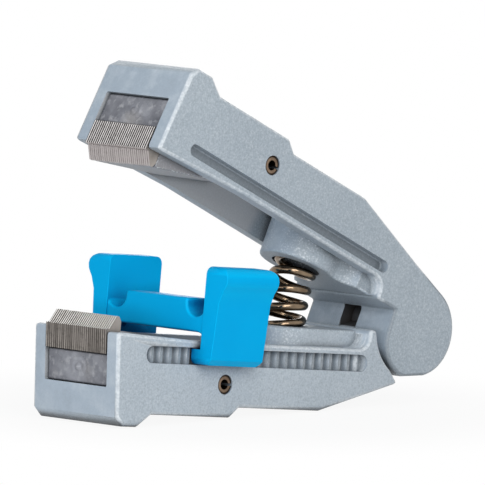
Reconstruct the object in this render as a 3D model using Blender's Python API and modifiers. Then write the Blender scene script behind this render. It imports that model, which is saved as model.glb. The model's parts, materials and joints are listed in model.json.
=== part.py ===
"""Stripping head of a self-adjusting wire stripper, standing open on a table.

Two mirror-image moulded jaws turn on a pivot pin at the rear and are pushed apart by a
compression spring. Each jaw holds a pack of thin steel leaves on an elastic cushion, backed by
a carrier that a slotted pin locks. A length stop clips over the lower jaw and slides on its racks.

Metres, +Z up. Each jaw is drawn in a jaw frame: X runs rearwards from the pivot axis, and depth is
the distance from the parting plane outwards, so the lower jaw has z = -depth and the upper z = depth.
"""

import math

import bmesh
import bpy
from mathutils import Matrix, Vector

# Jaw blanks, as x from the pivot axis and depth from the parting plane
JAW_WIDTH = 0.0096
FRONT_X = -0.03325
FRONT_RAKE = 0.085
LIP_DEPTH = 0.0015
RAIL_DEPTH = 0.00197
RAIL_START_X = -0.0225
FOOT_DEPTH = 0.0089
FOOT_CHAMFER = 0.0007
FOOT_REAR_X = -0.0302
MID_STEP_DEPTH = 0.00788
MID_STEP_X = -0.0287
MID_STEP_REAR_X = -0.0200
REAR_STEP_DEPTH = 0.00706
REAR_STEP_X = -0.0190
REAR_STEP_END_X = -0.00995
REAR_BLOCK_DEPTH = 0.00041
RECESS_END_X = -0.00495
RECESS_RADIUS = 0.0010
EDGE_ROUND = 0.0003

# Channel between the side walls
CHANNEL_WIDTH = 0.0070
CHANNEL_DEPTH = 0.0059
CHANNEL_CORNER = 0.00012
POCKET_START_X = -0.0136
POCKET_END_X = -0.0064
POCKET_DEPTH = 0.0044

# Hinge at the rear
HUB_RADIUS = 0.0037
HUB_OFFSET_X = 0.00085
HUB_LOW_ANGLE = -55.0
HUB_FRONT_X = 0.00035
HUB_FRONT_DROP = 0.0012
HUB_FRONT_RADIUS = 0.0029
HUB_FRONT_ANGLE = -85.0
HUB_NOSE_X = -0.00257
HUB_NECK_X = -0.0024
HUB_NECK_DEPTH = 0.00475
SOCKET_CLEARANCE = 0.00007
SOCKET_LOW_ANGLE = 56.6
SOCKET_CORNER_X = -0.00135
SOCKET_CORNER_DEPTH = 0.00462
EYE_RADIUS = 0.0016
TONGUE_THICKNESS = 0.0016
TONGUE_CLEARANCE = 0.00015
TONGUE_TOP = 0.0012
TONGUE_BOTTOM = 0.0038
PIVOT_RADIUS = 0.0009
PIVOT_BLIND_WALL = 0.0012
PIN_CLEARANCE = 0.00004
PIN_INSET = 0.00010
OPEN_ANGLE = 20.7

# Rack slot in the lower jaw and plain groove in the upper jaw
SLOT_START_X = -0.0299
SLOT_END_X = -0.0051
SLOT_INNER_DEPTH = 0.00243
SLOT_OUTER_DEPTH = 0.0038
GROOVE_OUTER_DEPTH = 0.00342
SLOT_CUT = 0.0008
SLOT_CORNER_SHARE = 0.48
GROOVE_FLOOR_SHARE = 0.40
TOOTH_COUNT = 24
TOOTH_PITCH = 0.0010
TOOTH_FIRST_X = -0.0289
TOOTH_HEIGHT = 0.00042
TOOTH_BASE = 0.00060
TOOTH_CREST = 0.00028

# Spring and its cups
CUP_X = -0.0102
CUP_DEPTH = 0.00060
CUP_RADIUS = 0.0031
CUP_RIM_ROUND = 0.0003
CUP_BORE_RADIUS = 0.00200
CUP_FLOOR_DEPTH = 0.0032
UPPER_WEB_WIDTH = 0.0050
WEB_FLARE_SHARE = 0.8
WIRE_DIAMETER = 0.00070
COIL_RADIUS = 0.00153
COIL_TURNS = 5.25
COIL_START_ANGLE = -100.0
COIL_END_TURN = 0.35
COIL_POINTS_PER_TURN = 12
SEAT_CLEARANCE = 0.00010

# Cross pins that lock the carriers
CROSS_PIN_X = -0.0209
CROSS_PIN_DEPTH = 0.00525
CROSS_PIN_RADIUS = 0.00076
CROSS_PIN_BORE = 0.00042
CROSS_PIN_SLIT = 0.00022

# Blade packs, cushions and carriers
LEAF_COUNT = 24
PACK_WIDTH = 0.00688
LEAF_GAP = 0.00003
LEAF_PROUD = 0.00006
LEAF_SHOULDER_DEPTH = 0.0013
LEAF_SHOULDER = 0.00028
LEAF_ROOT_DEPTH = 0.0033
EDGE_SETBACK = 0.0011
EDGE_DEPTH = 0.0003
EDGE_LAND = 0.00025
LEAF_LENGTH = 0.0016
LEAF_BACK_DEPTH = 0.00070
PACK_CLEARANCE = 0.00006
CUSHION_RECESS = 0.00025
LOWER_TOE_DEPTH = 0.0016
LOWER_WEDGE_X = -0.0262
LOWER_WEDGE_DEPTH = 0.0034
UPPER_TOE_DEPTH = 0.0004
UPPER_WEDGE_X = -0.0250
UPPER_WEDGE_DEPTH = 0.00205
CARRIER_TAIL_DEPTH = 0.0039
CARRIER_END_X = -0.0190

# Length stop
STOP_FRONT_X = -0.02470
STOP_LENGTH = 0.00580
STOP_SIDE_CLEARANCE = 0.00065
STOP_WALL = 0.0024
STOP_WALL_INSET = 0.00008
STOP_WALL_LOW = -0.0012
STOP_WALL_HIGH = 0.00145
STOP_FILLET = 0.0007
STOP_BITE = 0.00006
WING_TOP = 0.0041
WING_THICKNESS = 0.00130
WING_FLARE = 0.00070
WING_CORNER = 0.0006
LIP_BULGE = 0.00045
LIP_LOW = 0.0022
SHOE_CLEARANCE = 0.00009
SCOOP_RADIUS = 0.00102
SCOOP_DROP = 0.00040
STOP_ROUND = 0.00026

ARC_STEPS = 10
ROUND_SIDES = 32
OUTLINE_UNIT = 0.001
HALF_WIDTH = JAW_WIDTH / 2
EDGE_X = FRONT_X + EDGE_SETBACK
LEAF_BACK_X = FRONT_X + LEAF_LENGTH
LOWER = -1
UPPER = 1

COLOURS = {
    "jaw_grey": ((0.42, 0.47, 0.50, 1.0), 0.62, 0.0),
    "blade_steel": ((0.60, 0.58, 0.54, 1.0), 0.30, 1.0),
    "cushion_grey": ((0.13, 0.14, 0.14, 1.0), 0.75, 0.0),
    "carrier_grey": ((0.34, 0.37, 0.39, 1.0), 0.60, 0.0),
    "stop_blue": ((0.0, 0.36, 0.79, 1.0), 0.38, 0.0),
    "spring_steel": ((0.46, 0.38, 0.27, 1.0), 0.22, 1.0),
    "pin_steel": ((0.50, 0.44, 0.34, 1.0), 0.35, 1.0),
}


def clear_scene():
    for obj in list(bpy.data.objects):
        bpy.data.objects.remove(obj, do_unlink=True)


def new_collection(name):
    collection = bpy.data.collections.new(name)
    bpy.context.scene.collection.children.link(collection)
    return collection


def make_materials():
    made = {}
    for name, (colour, roughness, metallic) in COLOURS.items():
        material = bpy.data.materials.new(name)
        material.use_nodes = True
        shader = material.node_tree.nodes["Principled BSDF"]
        shader.inputs["Base Color"].default_value = colour
        shader.inputs["Roughness"].default_value = roughness
        shader.inputs["Metallic"].default_value = metallic
        material.diffuse_color = colour
        made[name] = material
    return made


def front_x(depth):
    """Where the raked front face lies at a depth."""
    return FRONT_X + FRONT_RAKE * depth


def arc(centre, radius, start, end, steps=ARC_STEPS):
    """Points along an arc, by angles in degrees."""
    points = []
    for i in range(steps + 1):
        angle = math.radians(start + (end - start) * i / steps)
        points.append((centre[0] + radius * math.cos(angle), centre[1] + radius * math.sin(angle)))
    return points


def rounded_rectangle(low, high, radius):
    """Outline of a rectangle with round corners."""
    corners = [
        ((high[0] - radius, high[1] - radius), 0),
        ((low[0] + radius, high[1] - radius), 90),
        ((low[0] + radius, low[1] + radius), 180),
        ((high[0] - radius, low[1] + radius), 270),
    ]
    points = []
    for centre, start in corners:
        points += arc(centre, radius, start, start + 90, 4)
    return points


def new_object(name, mesh, helper=False):
    obj = bpy.data.objects.new(name, mesh)
    (HELPERS if helper else PARTS).objects.link(obj)
    obj.hide_render = helper
    if helper:
        obj.display_type = "WIRE"
    return obj


def prism(name, outline, span, along="Y", helper=False):
    """A flat outline given thickness over span: (x, z) along Y, (x, y) along Z or (y, z) along X."""
    curve = bpy.data.curves.new(name, "CURVE")
    curve.dimensions = "2D"
    curve.fill_mode = "BOTH"
    curve.extrude = (span[1] - span[0]) / 2 / OUTLINE_UNIT
    spline = curve.splines.new("POLY")
    spline.points.add(len(outline) - 1)
    for point, (u, v) in zip(spline.points, outline):
        point.co = (u / OUTLINE_UNIT, v / OUTLINE_UNIT, 0.0, 1.0)
    spline.use_cyclic_u = True
    holder = bpy.data.objects.new(name + "_outline", curve)
    bpy.context.scene.collection.objects.link(holder)
    graph = bpy.context.evaluated_depsgraph_get()
    mesh = bpy.data.meshes.new_from_object(holder.evaluated_get(graph))
    bpy.data.objects.remove(holder, do_unlink=True)
    middle = (span[0] + span[1]) / 2
    turns = {
        "Y": Matrix(((1, 0, 0, 0), (0, 0, -1, middle), (0, 1, 0, 0), (0, 0, 0, 1))),
        "Z": Matrix.Translation((0, 0, middle)),
        "X": Matrix(((0, 0, 1, middle), (1, 0, 0, 0), (0, 1, 0, 0), (0, 0, 0, 1))),
    }
    mesh.transform(turns[along] @ Matrix.Scale(OUTLINE_UNIT, 4))
    weld(mesh)
    return new_object(name, mesh, helper)


def weld(mesh):
    """Joins the loose caps to the sides and turns every face outwards."""
    shape = bmesh.new()
    shape.from_mesh(mesh)
    bmesh.ops.remove_doubles(shape, verts=shape.verts, dist=1e-7)
    bmesh.ops.dissolve_limit(shape, angle_limit=0.001, verts=shape.verts, edges=shape.edges)
    bmesh.ops.recalc_face_normals(shape, faces=shape.faces)
    shape.to_mesh(mesh)
    shape.free()


def rod(name, x, z, radius, span, along="Y", helper=False, sides=ROUND_SIDES):
    """A round bar through (x, z) along Y, or through (x, 0) along Z over span."""
    shape = bmesh.new()
    bmesh.ops.create_cone(
        shape, cap_ends=True, segments=sides, radius1=radius, radius2=radius, depth=span[1] - span[0]
    )
    middle = (span[0] + span[1]) / 2
    if along == "Y":
        place = Matrix.Translation((x, middle, z)) @ Matrix.Rotation(math.pi / 2, 4, "X")
    else:
        place = Matrix.Translation((x, 0, middle))
    bmesh.ops.transform(shape, matrix=place, verts=shape.verts)
    mesh = bpy.data.meshes.new(name)
    shape.to_mesh(mesh)
    shape.free()
    return new_object(name, mesh, helper)


def round_edges(obj, width, segments=2, angle=50):
    bevel = obj.modifiers.new("round", "BEVEL")
    bevel.width = width
    bevel.segments = segments
    bevel.limit_method = "ANGLE"
    bevel.angle_limit = math.radians(angle)


def combine(obj, other, operation):
    boolean = obj.modifiers.new(operation.lower(), "BOOLEAN")
    boolean.operation = operation
    boolean.solver = "EXACT"
    boolean.object = other
    return boolean


def cut(obj, cutter):
    combine(obj, cutter, "DIFFERENCE")


def join(obj, other):
    combine(obj, other, "UNION")


def attach(obj, frame):
    """Puts a solid, and what its Booleans cut or join, on a frame."""
    obj.parent = frame
    for modifier in obj.modifiers:
        if modifier.type == "BOOLEAN":
            attach(modifier.object, frame)


def finish(obj, material, frame):
    obj.data.materials.append(MATERIALS[material])
    attach(obj, frame)
    obj.data.shade_smooth()
    obj.data.set_sharp_from_angle(angle=math.radians(35))


def sided(outline, side):
    """An outline in (x, depth) as (x, z) on the given jaw."""
    return [(x, side * depth) for x, depth in outline]


def depth_span(start, end, side):
    return (start, end) if side == UPPER else (-end, -start)


def back_outline():
    """Front lip, raked face, foot and the two back steps, front to rear."""
    return [
        (front_x(LIP_DEPTH), LIP_DEPTH),
        (front_x(FOOT_DEPTH - FOOT_CHAMFER), FOOT_DEPTH - FOOT_CHAMFER),
        (front_x(FOOT_DEPTH) + FOOT_CHAMFER, FOOT_DEPTH),
        (FOOT_REAR_X, FOOT_DEPTH),
        (MID_STEP_X, MID_STEP_DEPTH),
        (MID_STEP_REAR_X, MID_STEP_DEPTH),
        (REAR_STEP_X, REAR_STEP_DEPTH),
        (REAR_STEP_END_X, REAR_STEP_DEPTH),
    ]


def rail_outline():
    """Recess end and rail edge, rear to front."""
    recess_centre = (RECESS_END_X - RECESS_RADIUS, RAIL_DEPTH - RECESS_RADIUS)
    return [
        (RECESS_END_X, REAR_BLOCK_DEPTH),
        *arc(recess_centre, RECESS_RADIUS, 0, 90, 5),
        (RAIL_START_X, RAIL_DEPTH),
    ]


def lower_outline():
    low = 180 - SOCKET_LOW_ANGLE
    socket = HUB_FRONT_RADIUS + math.hypot(HUB_FRONT_X, HUB_FRONT_DROP) + SOCKET_CLEARANCE
    high = 180 - math.degrees(math.asin(REAR_BLOCK_DEPTH / socket))
    return [
        *back_outline(),
        (SOCKET_CORNER_X, SOCKET_CORNER_DEPTH),
        *arc((0, 0), socket, low, high),
        *rail_outline(),
    ]


def upper_outline():
    """The back runs onto the hub, and the hub's rounded front rises to the flat nose."""
    neck = Vector((HUB_NECK_X - HUB_OFFSET_X, HUB_NECK_DEPTH))
    tangent = math.degrees(math.atan2(neck.y, neck.x) - math.acos(HUB_RADIUS / neck.length))
    front_centre = (HUB_FRONT_X, -HUB_FRONT_DROP)
    return [
        *back_outline(),
        (HUB_NECK_X, HUB_NECK_DEPTH),
        *arc((HUB_OFFSET_X, 0), HUB_RADIUS, tangent, HUB_LOW_ANGLE, 2 * ARC_STEPS),
        *arc(front_centre, HUB_FRONT_RADIUS, HUB_FRONT_ANGLE, -180),
        (HUB_NOSE_X, REAR_BLOCK_DEPTH),
        *rail_outline(),
    ]


def cut_channel(jaw, side):
    """The open channel between the side walls, with a shallower pocket round the spring cup."""
    front = front_x(0) - CHANNEL_DEPTH
    outline = [
        (front, -CHANNEL_DEPTH),
        (POCKET_END_X, -CHANNEL_DEPTH),
        (POCKET_END_X, POCKET_DEPTH),
        (POCKET_START_X, POCKET_DEPTH),
        (POCKET_START_X, CHANNEL_DEPTH),
        (front, CHANNEL_DEPTH),
    ]
    half = CHANNEL_WIDTH / 2
    channel = prism(jaw.name + "_channel", sided(outline, side), (-half, half), "Y", True)
    round_edges(channel, CHANNEL_CORNER)
    cut(jaw, channel)


def cup_outline():
    """The lower cup with its web, which runs straight back to the rear block."""
    rear = RECESS_END_X + EDGE_ROUND
    round_front = arc((CUP_X, 0), CUP_RADIUS, 90, 270, 2 * ARC_STEPS)
    return [*round_front, (rear, -CUP_RADIUS), (rear, CUP_RADIUS)]


def flared_cup_outline():
    """The upper cup with its narrower web, which flares into the side walls."""
    half = UPPER_WEB_WIDTH / 2
    meet = math.degrees(math.asin(half / CUP_RADIUS))
    wall = CHANNEL_WIDTH / 2 + CHANNEL_CORNER
    rear = RECESS_END_X + EDGE_ROUND
    web_length = POCKET_END_X - CUP_X - CUP_RADIUS * math.cos(math.radians(meet))
    flare = WEB_FLARE_SHARE * web_length
    flare_centre = (POCKET_END_X - flare, half + flare)
    flank = [
        *arc(flare_centre, flare, -90, -20, 4),
        (POCKET_END_X, wall),
        (rear, wall),
    ]
    return [
        *arc((CUP_X, 0), CUP_RADIUS, meet, 360 - meet, 2 * ARC_STEPS),
        *[(x, -y) for x, y in flank],
        *reversed(flank),
    ]


def join_spring_cup(jaw, side, outline):
    """The cup that holds the spring, with a rounded rim."""
    span = depth_span(CUP_DEPTH, POCKET_DEPTH + 2 * CUP_RIM_ROUND, side)
    cup = prism(jaw.name + "_cup", outline, span, "Z", True)
    round_edges(cup, CUP_RIM_ROUND)
    join(jaw, cup)
    bore_span = depth_span(-CUP_FLOOR_DEPTH, CUP_FLOOR_DEPTH, side)
    cut(jaw, rod(jaw.name + "_cup_bore", CUP_X, 0, CUP_BORE_RADIUS, bore_span, "Z", True))


def slot_outline(outer_depth):
    low = (SLOT_START_X, SLOT_INNER_DEPTH)
    corner = SLOT_CORNER_SHARE * (outer_depth - SLOT_INNER_DEPTH)
    return rounded_rectangle(low, (SLOT_END_X, outer_depth), corner)


def cut_plain_grooves(jaw, side):
    """A groove with round ends and a rounded floor in both side faces."""
    outline = sided(slot_outline(GROOVE_OUTER_DEPTH), side)
    floor_round = GROOVE_FLOOR_SHARE * (GROOVE_OUTER_DEPTH - SLOT_INNER_DEPTH)
    for face in (-1, 1):
        floor = face * (HALF_WIDTH - SLOT_CUT)
        span = sorted((floor, face * (HALF_WIDTH + SLOT_CUT)))
        name = f"{jaw.name}_groove_{'near' if face < 0 else 'far'}"
        groove = prism(name, outline, span, "Y", True)
        round_edges(groove, floor_round, 3)
        cut(jaw, groove)


def cut_racks(jaw, side):
    """Slots in both side faces, each with a row of upright teeth on its floor."""
    floor = HALF_WIDTH - SLOT_CUT
    crest = floor + TOOTH_HEIGHT
    outer = HALF_WIDTH + SLOT_CUT
    comb = [(SLOT_START_X - SLOT_CUT, outer), (SLOT_START_X - SLOT_CUT, floor)]
    for i in range(TOOTH_COUNT):
        x = TOOTH_FIRST_X + i * TOOTH_PITCH
        comb += [
            (x - TOOTH_BASE / 2, floor),
            (x - TOOTH_CREST / 2, crest),
            (x + TOOTH_CREST / 2, crest),
            (x + TOOTH_BASE / 2, floor),
        ]
    comb += [(SLOT_END_X + SLOT_CUT, floor), (SLOT_END_X + SLOT_CUT, outer)]
    for face in (-1, 1):
        name = f"{jaw.name}_rack_{'near' if face < 0 else 'far'}"
        slot_span = sorted((face * (floor - SLOT_CUT / 4), face * (outer + SLOT_CUT)))
        slot = prism(name + "_slot", sided(slot_outline(SLOT_OUTER_DEPTH), side), slot_span, "Y", True)
        outline = [(x, face * y) for x, y in comb]
        span = depth_span(SLOT_INNER_DEPTH - SLOT_CUT, SLOT_OUTER_DEPTH + SLOT_CUT, side)
        rack = prism(name, outline, span, "Z", True)
        combine(slot, rack, "INTERSECT")
        cut(jaw, slot)


def cut_cross_pin_hole(obj, side):
    radius = CROSS_PIN_RADIUS + PIN_CLEARANCE
    span = (-JAW_WIDTH, JAW_WIDTH)
    name = obj.name + "_pin_hole"
    cut(obj, rod(name, CROSS_PIN_X, side * CROSS_PIN_DEPTH, radius, span, "Y", True, 24))


def make_lower_jaw(parent):
    jaw = prism("lower_jaw", sided(lower_outline(), LOWER), (-HALF_WIDTH, HALF_WIDTH))
    round_edges(jaw, EDGE_ROUND)
    cut_channel(jaw, LOWER)
    join_spring_cup(jaw, LOWER, cup_outline())
    cut_racks(jaw, LOWER)
    cut_cross_pin_hole(jaw, LOWER)
    half = TONGUE_THICKNESS / 2
    bar = [
        (RECESS_END_X, TONGUE_TOP),
        (-EYE_RADIUS * 0.9, 0.0),
        (-EYE_RADIUS * 0.3, EYE_RADIUS * 0.9),
        (-EYE_RADIUS, TONGUE_BOTTOM),
        (RECESS_END_X, TONGUE_BOTTOM),
    ]
    join(jaw, prism("lower_jaw_tongue", sided(bar, LOWER), (-half, half), "Y", True))
    join(jaw, rod("lower_jaw_eye", 0, 0, EYE_RADIUS, (-half, half), "Y", True))
    bore = PIVOT_RADIUS + PIN_CLEARANCE
    cut(jaw, rod("lower_jaw_pivot_hole", 0, 0, bore, (-JAW_WIDTH, JAW_WIDTH), "Y", True))
    finish(jaw, "jaw_grey", parent)


def make_upper_jaw(parent):
    jaw = prism("upper_jaw", sided(upper_outline(), UPPER), (-HALF_WIDTH, HALF_WIDTH))
    round_edges(jaw, EDGE_ROUND)
    cut_channel(jaw, UPPER)
    join_spring_cup(jaw, UPPER, flared_cup_outline())
    cut_plain_grooves(jaw, UPPER)
    cut_cross_pin_hole(jaw, UPPER)
    half = TONGUE_THICKNESS / 2 + TONGUE_CLEARANCE
    reach = EYE_RADIUS + TONGUE_CLEARANCE
    slot = rounded_rectangle((2 * HUB_NOSE_X, -2 * HUB_RADIUS), (reach, reach), reach)
    slot = [(max(x, HUB_NOSE_X - TONGUE_CLEARANCE), z) for x, z in slot]
    cut(jaw, prism("upper_jaw_tongue_slot", slot, (-half, half), "Y", True))
    bore = PIVOT_RADIUS + PIN_CLEARANCE
    span = (-HALF_WIDTH + PIVOT_BLIND_WALL, JAW_WIDTH)
    cut(jaw, rod("upper_jaw_pivot_hole", 0, 0, bore, span, "Y", True))
    finish(jaw, "jaw_grey", parent)


def make_pivot_pin(parent):
    span = (-HALF_WIDTH + PIVOT_BLIND_WALL + PIN_INSET, HALF_WIDTH - PIN_INSET)
    pin = rod("pivot_pin", 0, 0, PIVOT_RADIUS, span)
    finish(pin, "pin_steel", parent)


def make_cross_pin(name, side, parent):
    """A slotted spring pin: a tube with a slit along it."""
    half = HALF_WIDTH - PIN_INSET
    opening = math.degrees(math.asin(CROSS_PIN_SLIT / 2 / CROSS_PIN_BORE))
    centre = (CROSS_PIN_X, side * CROSS_PIN_DEPTH)
    outline = [
        *arc(centre, CROSS_PIN_RADIUS, opening / 2, 360 - opening / 2, 20),
        *arc(centre, CROSS_PIN_BORE, 360 - opening, opening, 14),
    ]
    finish(prism(name, outline, (-half, half)), "pin_steel", parent)


def make_carrier(name, side, parent):
    """The block behind the leaves, wedge-shaped towards the mouth and locked by the cross pin."""
    front = LEAF_BACK_X + PACK_CLEARANCE
    bottom = CHANNEL_DEPTH - PACK_CLEARANCE
    slope = [(front, LOWER_TOE_DEPTH), (LOWER_WEDGE_X, LOWER_WEDGE_DEPTH)]
    if side == UPPER:
        slope = [(front, UPPER_TOE_DEPTH), (UPPER_WEDGE_X, UPPER_WEDGE_DEPTH)]
    outline = [
        *slope,
        (CARRIER_END_X, CARRIER_TAIL_DEPTH),
        (CARRIER_END_X, bottom),
        (front, bottom),
    ]
    half = CHANNEL_WIDTH / 2 - PACK_CLEARANCE
    carrier = prism(name, sided(outline, side), (-half, half))
    round_edges(carrier, CHANNEL_CORNER)
    cut_cross_pin_hole(carrier, side)
    finish(carrier, "carrier_grey", parent)


def make_cushion(name, side, parent):
    top = LEAF_ROOT_DEPTH + PACK_CLEARANCE
    bottom = CHANNEL_DEPTH - PACK_CLEARANCE
    outline = [
        (front_x(top) + CUSHION_RECESS, top),
        (front_x(bottom) + CUSHION_RECESS, bottom),
        (LEAF_BACK_X, bottom),
        (LEAF_BACK_X, top),
    ]
    half = CHANNEL_WIDTH / 2 - PACK_CLEARANCE
    cushion = prism(name, sided(outline, side), (-half, half))
    round_edges(cushion, CHANNEL_CORNER)
    finish(cushion, "cushion_grey", parent)


def leaf_outline():
    """One leaf: straight front, small shoulder, slanted face up to the cutting edge, sloping back."""
    return [
        (front_x(LEAF_ROOT_DEPTH) - LEAF_PROUD, LEAF_ROOT_DEPTH),
        (front_x(LEAF_SHOULDER_DEPTH) - LEAF_PROUD, LEAF_SHOULDER_DEPTH),
        (front_x(LEAF_SHOULDER_DEPTH) + LEAF_SHOULDER, LEAF_SHOULDER_DEPTH),
        (EDGE_X, EDGE_DEPTH),
        (EDGE_X + EDGE_LAND, EDGE_DEPTH),
        (LEAF_BACK_X, LEAF_BACK_DEPTH),
        (LEAF_BACK_X, LEAF_ROOT_DEPTH),
    ]


def make_blade_pack(prefix, side, parent):
    pitch = PACK_WIDTH / LEAF_COUNT
    for i in range(LEAF_COUNT):
        start = -PACK_WIDTH / 2 + i * pitch
        span = (start + LEAF_GAP / 2, start + pitch - LEAF_GAP / 2)
        leaf = prism(f"{prefix}_leaf_{i + 1:02d}", sided(leaf_outline(), side), span)
        finish(leaf, "blade_steel", parent)


def wing_outline(face):
    """Section of one wing across the slide: shoe in the rack slot, upright leg, flared thumb lip."""
    inner = HALF_WIDTH + STOP_SIDE_CLEARANCE
    outer = inner + WING_THICKNESS
    shoe = HALF_WIDTH - SLOT_CUT + TOOTH_HEIGHT + SHOE_CLEARANCE
    shoe_top = -SLOT_INNER_DEPTH - SHOE_CLEARANCE
    shoe_low = -SLOT_OUTER_DEPTH + SHOE_CLEARANCE
    half_lip = (WING_TOP - LIP_LOW) / 2
    roll_y = outer + WING_FLARE + LIP_BULGE - half_lip
    roll = arc((roll_y, WING_TOP - half_lip), half_lip, -40, 90, 6)
    points = [
        (shoe, shoe_top),
        (shoe, shoe_low),
        (outer - half_lip / 2, shoe_low),
        (outer, shoe_low + half_lip / 2),
        (outer + WING_FLARE / 4, STOP_WALL_LOW),
        (outer + WING_FLARE / 2, LIP_LOW - half_lip),
        (outer + WING_FLARE, LIP_LOW),
        *roll,
        (inner, WING_TOP),
        (inner, shoe_top),
    ]
    return [(face * y, z) for y, z in points]


def make_wing(name, face, helper):
    """One wing, its four corners rounded in side view."""
    span = (STOP_FRONT_X, STOP_FRONT_X + STOP_LENGTH)
    wing = prism(name, wing_outline(face), span, "X", helper)
    low = (span[0], -SLOT_OUTER_DEPTH)
    side_view = rounded_rectangle(low, (span[1], WING_TOP), WING_CORNER)
    combine(wing, prism(name + "_side", side_view, (-JAW_WIDTH, JAW_WIDTH), "Y", True), "INTERSECT")
    round_edges(wing, STOP_ROUND, 2, 40)
    return wing


def make_length_stop(parent):
    """One moulding: a stop wall across the jaw and a springy wing on each side."""
    stop = make_wing("length_stop", -1, False)
    inner = HALF_WIDTH + STOP_SIDE_CLEARANCE
    reach = inner + WING_THICKNESS / 2
    fillet_y = inner + STOP_BITE - STOP_FILLET
    fillet = arc((fillet_y, STOP_WALL_LOW - STOP_FILLET), STOP_FILLET, 90, 0, 5)
    scoop_y = inner + STOP_BITE - SCOOP_RADIUS
    scoop = arc((scoop_y, STOP_WALL_HIGH - SCOOP_DROP), SCOOP_RADIUS, 360, 180)
    half = [
        *fillet,
        (reach, STOP_WALL_LOW - STOP_FILLET),
        (reach, STOP_WALL_HIGH),
        (scoop[0][0], STOP_WALL_HIGH),
        *scoop,
        (scoop[-1][0], STOP_WALL_HIGH),
    ]
    outline = half + [(-y, z) for y, z in reversed(half)]
    span = (STOP_FRONT_X + STOP_WALL_INSET, STOP_FRONT_X + STOP_WALL)
    wall = prism("length_stop_wall", outline, span, "X", True)
    round_edges(wall, STOP_ROUND, 2, 40)
    for piece in (wall, make_wing("length_stop_far_wing", 1, True)):
        combine(stop, piece, "UNION").use_self = True
    finish(stop, "stop_blue", parent)


def spring_axis(travel, straight):
    """Centre of the spring, the way it points and the way rearwards, at a travel from its lower end."""
    bend = math.radians(OPEN_ANGLE)
    bent_length = -CUP_X * bend
    turn = min(max((travel - straight) / bent_length, 0.0), 1.0) * bend
    along = Vector((math.sin(turn), 0, math.cos(turn)))
    rearwards = Vector((math.cos(turn), 0, -math.sin(turn)))
    rise = min(travel - straight, 0.0) + max(travel - straight - bent_length, 0.0)
    return CUP_X * rearwards + rise * along, along, rearwards


def spring_points():
    """A helix whose axis bends about the pivot axis, with a straight end square to each cup floor."""
    straight = CUP_FLOOR_DEPTH - SEAT_CLEARANCE
    length = 2 * straight - CUP_X * math.radians(OPEN_ANGLE)
    sideways = Vector((0, 1, 0))
    count = round(COIL_TURNS * COIL_POINTS_PER_TURN)
    stub = WIRE_DIAMETER
    start_angle = math.radians(COIL_START_ANGLE)
    points = []
    for i in range(count + 1):
        share = i / count
        centre, along, rearwards = spring_axis(2 * stub + (length - 4 * stub) * share, straight)
        angle = start_angle + 2 * math.pi * COIL_TURNS * share
        out = math.cos(angle) * rearwards + math.sin(angle) * sideways
        points.append(centre + COIL_RADIUS * out)
    ends = []
    for travels, share in (((0.0, stub), 0.0), ((length - stub, length), 1.0)):
        end_turn = COIL_END_TURN if share else -COIL_END_TURN
        angle = start_angle + 2 * math.pi * COIL_TURNS * share + end_turn
        run = []
        for travel in travels:
            centre, along, rearwards = spring_axis(travel, straight)
            out = math.cos(angle) * rearwards + math.sin(angle) * sideways
            run.append(centre + COIL_RADIUS * out)
        ends.append(run)
    return ends[0] + points + ends[1]


def least_self_gap(points):
    """Least gap between parts of the wire that are over half a turn apart along it."""
    apart = COIL_POINTS_PER_TURN // 2
    least = math.inf
    for i, first in enumerate(points):
        for second in points[i + apart :]:
            least = min(least, (first - second).length)
    return least - WIRE_DIAMETER


def make_return_spring(parent):
    points = spring_points()
    print(f"return_spring least gap to itself {least_self_gap(points) * 1000:.2f} mm")
    curve = bpy.data.curves.new("return_spring", "CURVE")
    curve.dimensions = "3D"
    curve.bevel_depth = WIRE_DIAMETER / 2
    curve.bevel_resolution = 1
    curve.use_fill_caps = True
    spline = curve.splines.new("POLY")
    spline.points.add(len(points) - 1)
    for point, place in zip(spline.points, points):
        point.co = (*place, 1.0)
    spring = bpy.data.objects.new("return_spring", curve)
    PARTS.objects.link(spring)
    curve.materials.append(MATERIALS["spring_steel"])
    spring.parent = parent


def new_empty(name, parent=None):
    empty = bpy.data.objects.new(name, None)
    PARTS.objects.link(empty)
    empty.parent = parent
    return empty


def make_frames():
    """Frames at the pivot axis: the lower jaw leans back on its foot and its rear step."""
    lean = math.atan2(FOOT_DEPTH - REAR_STEP_DEPTH, REAR_STEP_END_X - FOOT_REAR_X)
    height = FOOT_DEPTH * math.cos(lean) + FOOT_REAR_X * math.sin(lean)
    nose_x = front_x(LEAF_SHOULDER_DEPTH) - LEAF_PROUD
    reach = nose_x * math.cos(lean) - LEAF_SHOULDER_DEPTH * math.sin(lean)
    turn = lean + math.radians(OPEN_ANGLE)
    hub_rear = HUB_RADIUS + HUB_OFFSET_X * math.cos(turn)
    base = new_empty("lower_jaw_frame")
    base.location = (-(hub_rear + reach) / 2, 0, height)
    base.rotation_euler = (0, lean, 0)
    hinge = new_empty("jaw_hinge_axis", base)
    hinge.rotation_euler = (0, math.radians(OPEN_ANGLE), 0)
    return base, hinge


clear_scene()
PARTS = new_collection("wire_stripper_head")
HELPERS = new_collection("cutters")
MATERIALS = make_materials()
lower_frame, upper_frame = make_frames()
make_lower_jaw(lower_frame)
make_upper_jaw(upper_frame)
make_pivot_pin(upper_frame)
for label, jaw_side, frame in (("lower", LOWER, lower_frame), ("upper", UPPER, upper_frame)):
    make_carrier(label + "_carrier", jaw_side, frame)
    make_cushion(label + "_cushion", jaw_side, frame)
    make_cross_pin(label + "_cross_pin", jaw_side, frame)
    make_blade_pack(label, jaw_side, frame)
make_return_spring(lower_frame)
make_length_stop(lower_frame)
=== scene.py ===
"""Looks of the wire stripper head: materials, leaf packs, pads, spring, studio and camera."""

import json
import math
import random

import bmesh
import bpy
from mathutils import Matrix, Vector


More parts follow.
